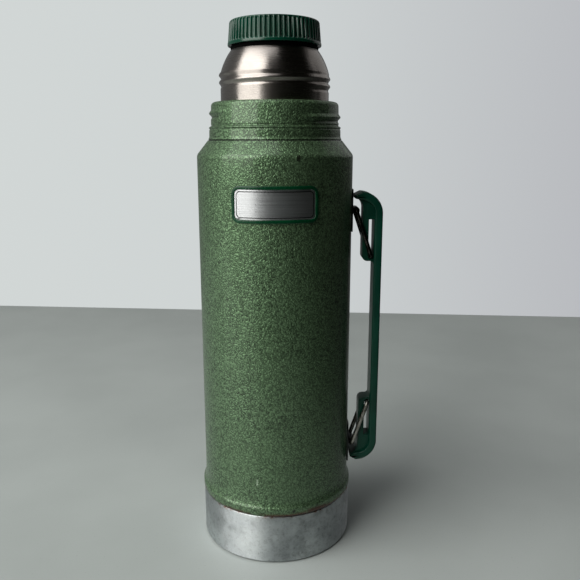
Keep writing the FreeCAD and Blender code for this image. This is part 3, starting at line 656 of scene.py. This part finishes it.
GREEN = hammertone()
STEEL = turned_steel()
SATIN = satin_steel()
STOPPER = moulded("stopper_green", srgb(0, 52, 37), srgb(8, 78, 58), 0.2, shine=0.6)
GRIP = moulded("grip_green", srgb(0, 56, 42), srgb(4, 74, 56), 0.38, grain=1400, shine=0.35)
LACQUER = moulded("badge_lacquer", srgb(0, 44, 24), srgb(4, 70, 40), 0.24, shine=0.4)
BADGE = brushed_plate()
INK = plain("badge_line", srgb(14, 16, 16), srgb(24, 26, 26), 0.0, 0.4)
DARK = plain("dark_enamel", srgb(10, 20, 15), srgb(24, 40, 31), 0.2, 0.36, 260)
# One wire for both bails: the upper copy is darker for painted shade, the lower lighter for painted
# light; the tarnished and rubbed patches are the wire's own wear.
SHADED_WIRE = worn_wire("wire_painted_shade", srgb(44, 44, 42), srgb(120, 118, 112), 0.40)
LIT_WIRE = worn_wire("wire_painted_light_and_wear", srgb(70, 66, 60), srgb(176, 172, 164), 0.58)
# Darker and duller than rubber is: painted shade for the gap under the cap, on the black rubber of the
# gasket and the base pad.
RUBBER_AND_SHADE = plain("black_rubber_and_painted_shade", srgb(2, 2, 2), srgb(5, 5, 5), 0.0, 0.8, 300, shine=0.04)
FELT = plain("felt", srgb(180, 176, 164), srgb(208, 204, 192), 0.0, 0.9, 400)
COPPER = plain("copper", srgb(150, 96, 66), srgb(184, 124, 90), 1.0, 0.35)


# ---------------------------------------------------------------------------------------------
# Bottle
# ---------------------------------------------------------------------------------------------

def rolled_thread(start_height, start_angle, lead, turns, height, fade):
    """A thread rolled in sheet along a right-handed helix: a crest and the groove under it.

    Angles are in degrees from +X, and the thread rises from nothing over fade degrees.
    """
    # Each wave's place above the helix, its height, and how far it reaches above and below.
    waves = [(0.0, height, 2.2, 1.6), (-2.4, -0.45 * height, 1.3, 1.3)]

    def swell(angle, radius, level):
        total = 0.0
        first = (math.degrees(angle) - start_angle) % 360
        for wind in range(math.ceil(turns)):
            along = first + 360 * wind
            if along > turns * 360:
                break
            ease = min(1.0, along / fade, (turns * 360 - along) / fade)
            ease = ease * ease * (3 - 2 * ease)
            for offset, crest, above, below in waves:
                away = level - start_height - lead * along / 360 - offset
                away /= above if away > 0 else below
                if abs(away) < 1:
                    total += crest * ease * (0.5 + 0.5 * math.cos(math.pi * away))
        return total
    return swell


def make_jacket():
    """Painted can: skirt, rolled bead, cylinder, shoulder and turned-in lip."""
    skirt = 48.3
    tuck = (49.25, BASE_HEIGHT + 0.4)
    belly = (49.7, BASE_HEIGHT + 2.8)
    brow = (49.7, BASE_HEIGHT + 4.6)
    bead_top = (49.0, BASE_HEIGHT + 6.2)
    run_out = (BODY_RADIUS, BASE_HEIGHT + 12.4)
    bead = [tuck]
    bead += arc(tuck, belly, 4.0, 6)
    bead += arc(belly, brow, 8.0, 4)
    bead += arc(brow, bead_top, 2.0, 8)
    bead += arc(bead_top, run_out, -20.0, 8)

    shoulder_foot = JACKET_TOP - SHOULDER_HEIGHT
    lip = 41.0
    shoulder = rounded([
        (BODY_RADIUS, shoulder_foot - 11.6), (BODY_RADIUS, shoulder_foot, 4.0),
        (lip + 0.3, JACKET_TOP - 0.3, 0.4), (lip, JACKET_TOP)], closed=False, steps=12)
    cylinder = [(BODY_RADIUS, height) for height in range(60, 240, 20)]
    inside = [
        (31.6, JACKET_TOP), (31.6, JACKET_TOP - SHEET), (lip - 0.7, JACKET_TOP - SHEET),
        (BODY_RADIUS - SHEET, shoulder_foot - 0.4), (BODY_RADIUS - SHEET, BASE_HEIGHT + 1.8)]
    outline = [(skirt - SHEET, JACKET_FOOT), (skirt, JACKET_FOOT), (skirt, BASE_HEIGHT + 0.1)]
    outline += bead + cylinder + shoulder + inside
    return lathe("jacket", outline, "bottle", GREEN, ["body_jacket"], segments=256)


def make_base():
    """Bare cup with a rounded foot and a ring stamped up into its floor."""
    inner_radius = 48.32
    floor = 1.6
    foot = 1.0
    ring_inner, ring_outer, ring_depth = 28.0, 35.0, 1.5
    outline = rounded([
        (0, 0), (ring_inner, 0, 0.6), (ring_inner + ring_depth, ring_depth, 0.6),
        (ring_outer - ring_depth, ring_depth, 0.6), (ring_outer, 0, 0.6), (46.0, 0, 0.4),
        (46.6, foot, 0.3), (BASE_RADIUS, foot, 0.5), (BASE_RADIUS, BASE_HEIGHT, 0.5),
        (inner_radius, BASE_HEIGHT), (inner_radius, floor + 0.6), (47.3, floor), (0, floor)], steps=6)
    return lathe("base", outline, "bottle", SATIN, ["base_cup"], segments=224)


def make_collar():
    """Painted ring: foot, land, bead and the rolled thread for the cup."""
    foot = JACKET_TOP
    inner_edge = 32.75
    thread_root = 38.3
    outer = rounded([
        (40.2, foot + 0.02), (40.9, foot + 0.45, 0.25), (40.2, foot + 1.8, 1.0), (40.1, foot + 5.9, 0.5),
        (39.7, foot + 6.5, 0.3), (40.5, foot + 7.4, 0.4), (38.75, foot + 8.5, 0.4),
        (39.0, foot + 9.5, 0.6), (38.65, COLLAR_TOP, 2.4), (inner_edge, COLLAR_TOP)],
        closed=False, steps=8)
    outer = spaced(outer, 0.25, closed=False)
    inner = [
        (inner_edge, COLLAR_TOP - 0.9), (36.2, COLLAR_TOP - 0.9), (37.6, COLLAR_TOP - 2.4),
        (38.1, foot + 9.2), (39.2, foot + 8.0), (39.3, foot + 1.8), (40.1, foot + 0.9)]
    thread = rolled_thread(start_height=foot + 12.7, start_angle=-71.0, lead=4.2, turns=0.83,
                           height=1.15, fade=20.0)

    def swell(angle, radius, level):
        on_thread = radius > thread_root and level > foot + 8.8
        return thread(angle, radius, level) if on_thread else 0.0

    return lathe("collar", outer + inner, "bottle", GREEN, ["cup_thread_collar"],
                 segments=288, swell=swell)


def make_neck():
    """Bare neck: land with the rolled thread, dome and mouth."""
    inside = NECK_RADIUS - 0.7
    rim = 26.2
    foot = JACKET_TOP + 1.7
    hidden = COLLAR_TOP + 1.4
    dome = [(NECK_RADIUS, DOME_FOOT)] + arc((NECK_RADIUS, DOME_FOOT), (rim, MOUTH), 38.0, 24)
    outer = spaced([(NECK_RADIUS, foot), (NECK_RADIUS, hidden)], 4.0, closed=False)
    outer += spaced([(NECK_RADIUS, hidden + 0.4)] + dome, 0.22, closed=False)
    tube = TUBE_OUTER + 0.02
    inner = [
        (rim - 0.3, MOUTH), (24.2, MOUTH), (tube, MOUTH - 0.4), (tube, MOUTH - 4.0),
        (24.5, MOUTH - 4.0), (24.5, MOUTH - 0.9), (rim - 0.8, MOUTH - 0.9), (inside, DOME_FOOT),
        (inside, foot)]
    thread = rolled_thread(start_height=COLLAR_TOP + 8.3, start_angle=-57.0, lead=4.3, turns=1.8,
                           height=0.85, fade=30.0)

    def swell(angle, radius, level):
        on_land = radius > inside + 0.05 and level > hidden + 0.2
        return thread(angle, radius, level) if on_land else 0.0

    return lathe("neck", outer + inner, "bottle", STEEL, ["neck_shell"],
                 segments=288, swell=swell, sharp=40.0)


def make_badge():
    """Raised lacquered rim, bare brushed face and a thin line inset in the face."""
    rim = 2.05
    rim_height = 1.05
    corner = 4.9
    under_rim = 0.8
    face_width = BADGE_WIDTH - 2 * rim + under_rim
    face_height = BADGE_HEIGHT - 2 * rim + under_rim
    curved_plate("badge_face", BADGE_FACING, BADGE_CENTRE, face_width, face_height, corner=3.4,
                 thick=0.62, edge=0.1, body="bottle", material=BADGE,
                 replaced=["badge_plate"])

    loop = rounded_rectangle(BADGE_WIDTH - rim, BADGE_HEIGHT - rim, corner - rim / 2)
    section = rounded([(-rim / 2, 0.02), (rim / 2, 0.02), (rim / 2, rim_height, 0.45),
                       (-rim / 2, rim_height, 0.45)], steps=4)
    swept("badge_rim", jacket_route(loop, BADGE_FACING, BADGE_CENTRE), section, "bottle",
          LACQUER, ["badge_frame"])

    inset = rim + 1.15
    half = 0.25
    low, high = 0.5, 0.65
    loop = rounded_rectangle(BADGE_WIDTH - 2 * inset, BADGE_HEIGHT - 2 * inset, 2.2)
    section = [(-half, low), (half, low), (half, high), (-half, high)]
    swept("badge_outline", jacket_route(loop, BADGE_FACING, BADGE_CENTRE), section, "bottle",
          INK)


# ---------------------------------------------------------------------------------------------
# Stopper
# ---------------------------------------------------------------------------------------------

def make_cap():
    """Ribbed cap: ribs widen towards the smooth band at its foot."""
    ribs = 60
    samples = 16
    band_top = CAP_BOTTOM + 1.5
    rib_foot = CAP_BOTTOM + 1.9
    rounding = 1.4
    rib_top = CAP_TOP - rounding
    foot_crest = CAP_RADIUS - 0.25
    taper = 0.9
    top_crest = foot_crest - taper

    def share_of(level):
        """How far up the ribs a level is, from 0 to 1."""
        return (level - rib_foot) / (rib_top - rib_foot)

    outer = rounded([
        (26.9, CAP_BOTTOM + 0.55, 0.2), (27.3, CAP_BOTTOM, 0.2), (CAP_RADIUS, CAP_BOTTOM + 0.15, 0.4),
        (CAP_RADIUS, band_top, 0.25), (foot_crest, rib_foot)], closed=False, steps=5)
    levels = [rib_foot + step * 0.3 for step in range(1, 36)]
    side = [(foot_crest - taper * share_of(level), level) for level in levels]
    top = arc((top_crest, rib_top), (top_crest - rounding, CAP_TOP), rounding, 8)
    dish = [(24.6, CAP_TOP), (23.9, CAP_TOP - 0.25), (12.0, CAP_TOP - 0.3), (0, CAP_TOP - 0.3)]
    web = CAP_TOP - 2.0
    inside = [(0, web), (24.5, web), (24.5, CAP_BOTTOM + 2.0), (21.7, CAP_BOTTOM + 2.0),
              (21.7, CAP_BOTTOM + 0.55)]

    def swell(angle, radius, level):
        if radius < 25 or level < band_top + 0.2 or level > CAP_TOP - 0.4:
            return 0.0
        share = min(1.0, max(0.0, share_of(level)))
        crest_width = 0.22 - 0.12 * share
        place = abs((angle / TURN * ribs + 0.5) % 1.0 - 0.5) * 2
        groove = min(1.0, max(0.0, (place - crest_width) / (0.85 - crest_width)))
        groove = groove * groove * (3 - 2 * groove)
        depth = 1.35 - 0.45 * share
        lower_end = min(1.0, max(0.0, (level - band_top - 0.3) / 0.7))
        upper_end = min(1.0, max(0.0, (CAP_TOP - 0.5 - level) / 0.9))
        return -depth * groove * lower_end * upper_end

    outline = outer + side + [(top_crest, rib_top)] + top + dish + inside
    return lathe("cap", outline, "stopper", STOPPER, ["stopper_cap"],
                 segments=ribs * samples, swell=swell, sharp=50.0)


def make_gasket():
    """Black ring under the cap."""
    inner, outer = 21.7, 26.2
    low, high = MOUTH + 0.02, CAP_BOTTOM - 0.05
    outline = rounded([(inner, low), (outer, low, 0.5), (outer, high, 0.4), (inner, high)], steps=5)
    return lathe("gasket", outline, "stopper_seal", RUBBER_AND_SHADE, ["stopper_gasket"],
                 segments=160)


# ---------------------------------------------------------------------------------------------
# Handle
# ---------------------------------------------------------------------------------------------

def both_ways(points, side):
    """Points given from the handle's middle, placed above it (1) or mirrored below it (-1)."""
    placed = [(x, HANDLE_CENTRE + z * side) for x, z in points]
    return placed if side > 0 else placed[::-1]


def make_handle():
    """Grip: an outer band with hooked ends, and slotted webs behind the ends."""
    bend = 13.5
    bend_x, bend_z = OUTER_FACE - bend, HANDLE_REACH - bend
    under = HANDLE_REACH - BAND_THICKNESS
    hook_x = 49.5
    hook = [(bend_x, HANDLE_REACH), (hook_x, HANDLE_REACH - 2.0, 0.7), (hook_x, HANDLE_REACH - 4.2, 0.7),
            (bend_x, under)]
    upper = [(OUTER_FACE, bend_z)]
    upper += arc((OUTER_FACE, bend_z), (bend_x, HANDLE_REACH), bend, 20)
    upper += rounded(hook, closed=False)[1:]
    upper += arc((bend_x, under), (INNER_FACE, bend_z), BAND_THICKNESS - bend, 16)
    band = both_ways(upper, 1) + both_ways(upper, -1)
    slab("grip_band", [band], width=HANDLE_WIDTH, bevel=1.15, body="handle",
         material=GRIP, replaced=["handle"])

    front, back = OUTER_FACE - 3.0, 54.8
    foot, corner, fillet = 46.2, 3.4, 2.4
    web = [(front, foot - fillet), (front, bend_z)]
    web += arc((front, bend_z), (back, HANDLE_REACH - 3.0), 10.5, 12)
    web += [(50.5, HANDLE_REACH - 3.8)]
    web += arc((50.5, HANDLE_REACH - 3.8), (back, HANDLE_REACH - 11.0), -7.0, 10)
    web += [(back, foot + corner)]
    web += arc((back, foot + corner), (back + corner, foot), corner, 8)
    web += [(INNER_FACE - fillet, foot)]
    web += arc((INNER_FACE - fillet, foot), (INNER_FACE, foot - fillet), -fillet, 8)
    half = WIRE + PIN_CLEARANCE
    slot_end = 72.7
    hole = [(PIN_X + half, slot_end), (PIN_X - half, slot_end), (PIN_X - half, PIN_OFFSET)]
    hole += arc((PIN_X - half, PIN_OFFSET), (PIN_X, PIN_OFFSET - half), half, 6)
    hole += arc((PIN_X, PIN_OFFSET - half), (PIN_X + half, PIN_OFFSET), half, 6)
    for side, name in ((1, "upper"), (-1, "lower")):
        slab(f"grip_web_{name}", [both_ways(web, side), both_ways(hole, side)], width=11.0, bevel=0.35,
             body="handle", material=GRIP)


def make_bail(name, side, material):
    """Loop of round wire, its ends meeting inside the bracket's knuckle."""
    run, rise = PIN_X - PIVOT_X, PIVOT_OFFSET - PIN_OFFSET
    length = math.hypot(run, rise)
    along = (run / length, 0.0, -side * rise / length)
    half = reach_of(name, Y)[1] - WIRE
    bend = 2.0
    corners = [(0, 0.0), (0, half, bend), (length, half, bend), (length, -half, bend), (0, -half, bend),
               (0, -0.5)]
    path = spaced(rounded(corners, closed=False, steps=8), 1.5, closed=False)
    origin = (PIVOT_X, 0.0, HANDLE_CENTRE + side * PIVOT_OFFSET)
    level = (0.0, 1.0, 0.0)
    normal = (along[2], 0.0, -along[0])
    route = []
    for index, (u, v) in enumerate(path):
        before, after = path[max(index - 1, 0)], path[min(index + 1, len(path) - 1)]
        tangent = (after[0] - before[0], after[1] - before[1])
        size = math.hypot(*tangent)
        sideways = (tangent[1] / size, -tangent[0] / size)
        point = tuple(origin[i] + along[i] * u + level[i] * v for i in range(3))
        across = tuple(along[i] * sideways[0] + level[i] * sideways[1] for i in range(3))
        route.append((point, across, normal))
    angles = [TURN * step / 20 for step in range(20)]
    section = [(WIRE * math.cos(angle), WIRE * math.sin(angle)) for angle in angles]
    swept(name, route, section, name, material, [name], closed=False, sharp=60.0)


def make_bracket(name, side):
    """Plate wrapped on the jacket, with the knuckle rolled from it."""
    centre = HANDLE_CENTRE + side * PIVOT_OFFSET
    low, high = reach_of(name, Z)
    curved_plate(f"{name}_plate", 0.0, centre, 16.2, high - low, corner=2.5, thick=0.9, edge=0.3,
                 body="bottle", material=DARK, replaced=[name])
    inner, outer = WIRE + 0.07, 2.35
    half = 5.0
    section = rounded([(inner, -half), (outer, -half, 0.25), (outer, half, 0.25), (inner, half)], steps=3)
    vertices = []
    segments = 40
    for segment in range(segments):
        angle = TURN * segment / segments
        for radius, y in section:
            vertices.append((PIVOT_X + radius * math.cos(angle), y, centre + radius * math.sin(angle)))
    faces = grid_faces(segments, len(section))
    add_piece(f"{name}_knuckle", vertices, faces, "bottle", DARK)


# ---------------------------------------------------------------------------------------------
# CAD nodes that keep their own shape
# ---------------------------------------------------------------------------------------------

def finish_nodes():
    """Give the CAD nodes that stay in view their finish."""
    finishes = {
        "inner_liner": STEEL,
        "jacket_bottom": SATIN,
        "pump_out_tip": COPPER,
        "getter": SATIN,
        "liner_support": FELT,
        "base_pad": RUBBER_AND_SHADE,
        "stopper_plug": STOPPER,
        "stopper_core": FELT,
    }
    for name, material in finishes.items():
        mesh = frame["nodes"][name].data
        mesh.materials.clear()
        mesh.materials.append(material)


# ---------------------------------------------------------------------------------------------
# Stage, light and camera
# ---------------------------------------------------------------------------------------------

def make_floor():
    """Plain table top that ends behind the bottle, in metres.

    It looks the same all over, but throws back less light on the right and in front, where the room
    is dark.
    """
    mesh = bpy.data.meshes.new("table_top")
    wide = 1.6
    front = -1.6
    back_left, back_right = 0.731, 0.426
    corners = [(-wide, front, 0), (wide, front, 0), (wide, back_right, 0), (-wide, back_left, 0)]
    mesh.from_pydata(corners, [], [(0, 1, 2, 3)])
    floor = bpy.data.objects.new("table_top", mesh)
    bpy.context.collection.objects.link(floor)
    n = Nodes("table_grey")
    specks = n.noise(900, detail=2)
    clouds = n.noise(9, detail=3)
    tone = n.mix(n.span(clouds, 0.35, 0.65), srgb(176, 183, 181), srgb(183, 190, 188))
    tone = n.mix(n.span(specks, 0.66, 0.74, 0.0, 0.35), tone, srgb(140, 146, 143))
    left = n.span(n.axis("X"), 50, 320, 1.0, 0.12)
    behind = n.span(n.axis("Y"), -500, -250, 0.15)
    seen = n.add("ShaderNodeLightPath").outputs["Is Camera Ray"]
    share = n.maths("MAXIMUM", n.maths("MULTIPLY", left, behind), seen)
    n.colour(n.mix(share, srgb(0, 0, 0), tone))
    n.set(Specular_IOR_Level=0.4)
    n.roughness(n.span(specks, 0.3, 0.7, 0.36, 0.46))
    n.bump(specks, 0.1, 0.3)
    mesh.materials.append(n.material)


def make_world():
    """Pale wall behind for the camera; for the light, a room that is dark in front on the right."""
    world = bpy.data.worlds.new("room")
    bpy.context.scene.world = world
    world.use_nodes = True
    tree = world.node_tree
    tree.nodes.clear()
    place = tree.nodes.new("ShaderNodeTexCoord").outputs["Generated"]

    def background(direction, *stops):
        """Greys and colours that change with the angle to a direction."""
        angle = tree.nodes.new("ShaderNodeVectorMath")
        angle.operation = "DOT_PRODUCT"
        angle.inputs[1].default_value = direction
        share = tree.nodes.new("ShaderNodeMapRange")
        share.inputs["From Min"].default_value = -1.0
        ramp = tree.nodes.new("ShaderNodeValToRGB")
        elements = ramp.color_ramp.elements
        while len(elements) < len(stops):
            elements.new(0.5)
        for element, (position, colour) in zip(elements, stops):
            element.position = (position + 1) / 2
            element.color = colour
        shader = tree.nodes.new("ShaderNodeBackground")
        tree.links.new(place, angle.inputs[0])
        tree.links.new(angle.outputs["Value"], share.inputs["Value"])
        tree.links.new(share.outputs["Result"], ramp.inputs["Fac"])
        tree.links.new(ramp.outputs["Color"], shader.inputs["Color"])
        return shader.outputs["Background"]

    dark_side = (0.64, -0.77, 0.0)
    right = (1.0, 0.0, 0.0)
    room = background(
        dark_side, (-1.0, (0.18, 0.185, 0.185, 1)), (-0.5, (0.13, 0.135, 0.135, 1)),
        (-0.15, (0.025, 0.025, 0.023, 1)), (0.2, (0.004, 0.004, 0.003, 1)))
    wall = background(
        right, (-0.45, srgb(210, 215, 214)), (0.0, srgb(206, 211, 211)), (0.45, srgb(184, 186, 190)))
    paths = tree.nodes.new("ShaderNodeLightPath")
    mix = tree.nodes.new("ShaderNodeMixShader")
    output = tree.nodes.new("ShaderNodeOutputWorld")
    tree.links.new(paths.outputs["Is Camera Ray"], mix.inputs["Fac"])
    tree.links.new(room, mix.inputs[1])
    tree.links.new(wall, mix.inputs[2])
    tree.links.new(mix.outputs["Shader"], output.inputs["Surface"])


def add_lamp(name, place, size, power, colour=(1, 1, 1)):
    """A rectangular soft light aimed at the bottle's middle: metres and watts."""
    aim = (0, 0, 0.17)
    light = bpy.data.lights.new(name, "AREA")
    light.shape = "RECTANGLE"
    light.size, light.size_y = size
    light.energy = power
    light.color = colour
    lamp = bpy.data.objects.new(name, light)
    bpy.context.collection.objects.link(lamp)
    lamp.location = place
    away = [place[i] - aim[i] for i in range(3)]
    level = math.hypot(away[0], away[1])
    lamp.rotation_euler = (math.atan2(level, away[2]), 0, math.atan2(away[1], away[0]) + math.pi / 2)
    return lamp


def make_lights():
    """A tall window to the left in front, a lamp above, a glow on the right and a fill behind."""
    add_lamp("window", (-1.2, -0.82, 1.0), (1.7, 1.75), 34.0, (1.0, 0.99, 0.95))
    add_lamp("overhead", (-0.6, -0.25, 1.6), (1.3, 1.3), 8.0)
    add_lamp("far_glow", (1.4, 0.2, 1.0), (0.35, 0.9), 0.25)
    add_lamp("room_fill", (1.1, 1.0, 0.9), (1.3, 1.3), 1.7)


def make_camera():
    """Camera in front at the height of the collar, looking down a little, as it was for the photo."""
    turn = math.radians(-1.0)
    look_down = math.radians(12.83)
    aside, distance, height = 0.00922, 0.4124, 0.2596
    data = bpy.data.cameras.new("camera")
    data.sensor_width = 36.0
    data.lens = 40.469
    data.clip_start = 0.01
    camera = bpy.data.objects.new("camera", data)
    bpy.context.collection.objects.link(camera)
    x = aside * math.cos(turn) + distance * math.sin(turn)
    y = aside * math.sin(turn) - distance * math.cos(turn)
    camera.location = (x, y, height)
    camera.rotation_euler = (math.pi / 2 - look_down, 0, turn)
    bpy.context.scene.camera = camera


make_jacket()
make_base()
make_collar()
make_neck()
make_badge()
make_cap()
make_gasket()
make_handle()
make_bail("upper_bail", 1, SHADED_WIRE)
make_bail("lower_bail", -1, LIT_WIRE)
make_bracket("upper_bracket", 1)
make_bracket("lower_bracket", -1)
finish_nodes()
make_floor()
make_world()
make_lights()
make_camera()
bpy.context.scene.view_settings.view_transform = "Standard"
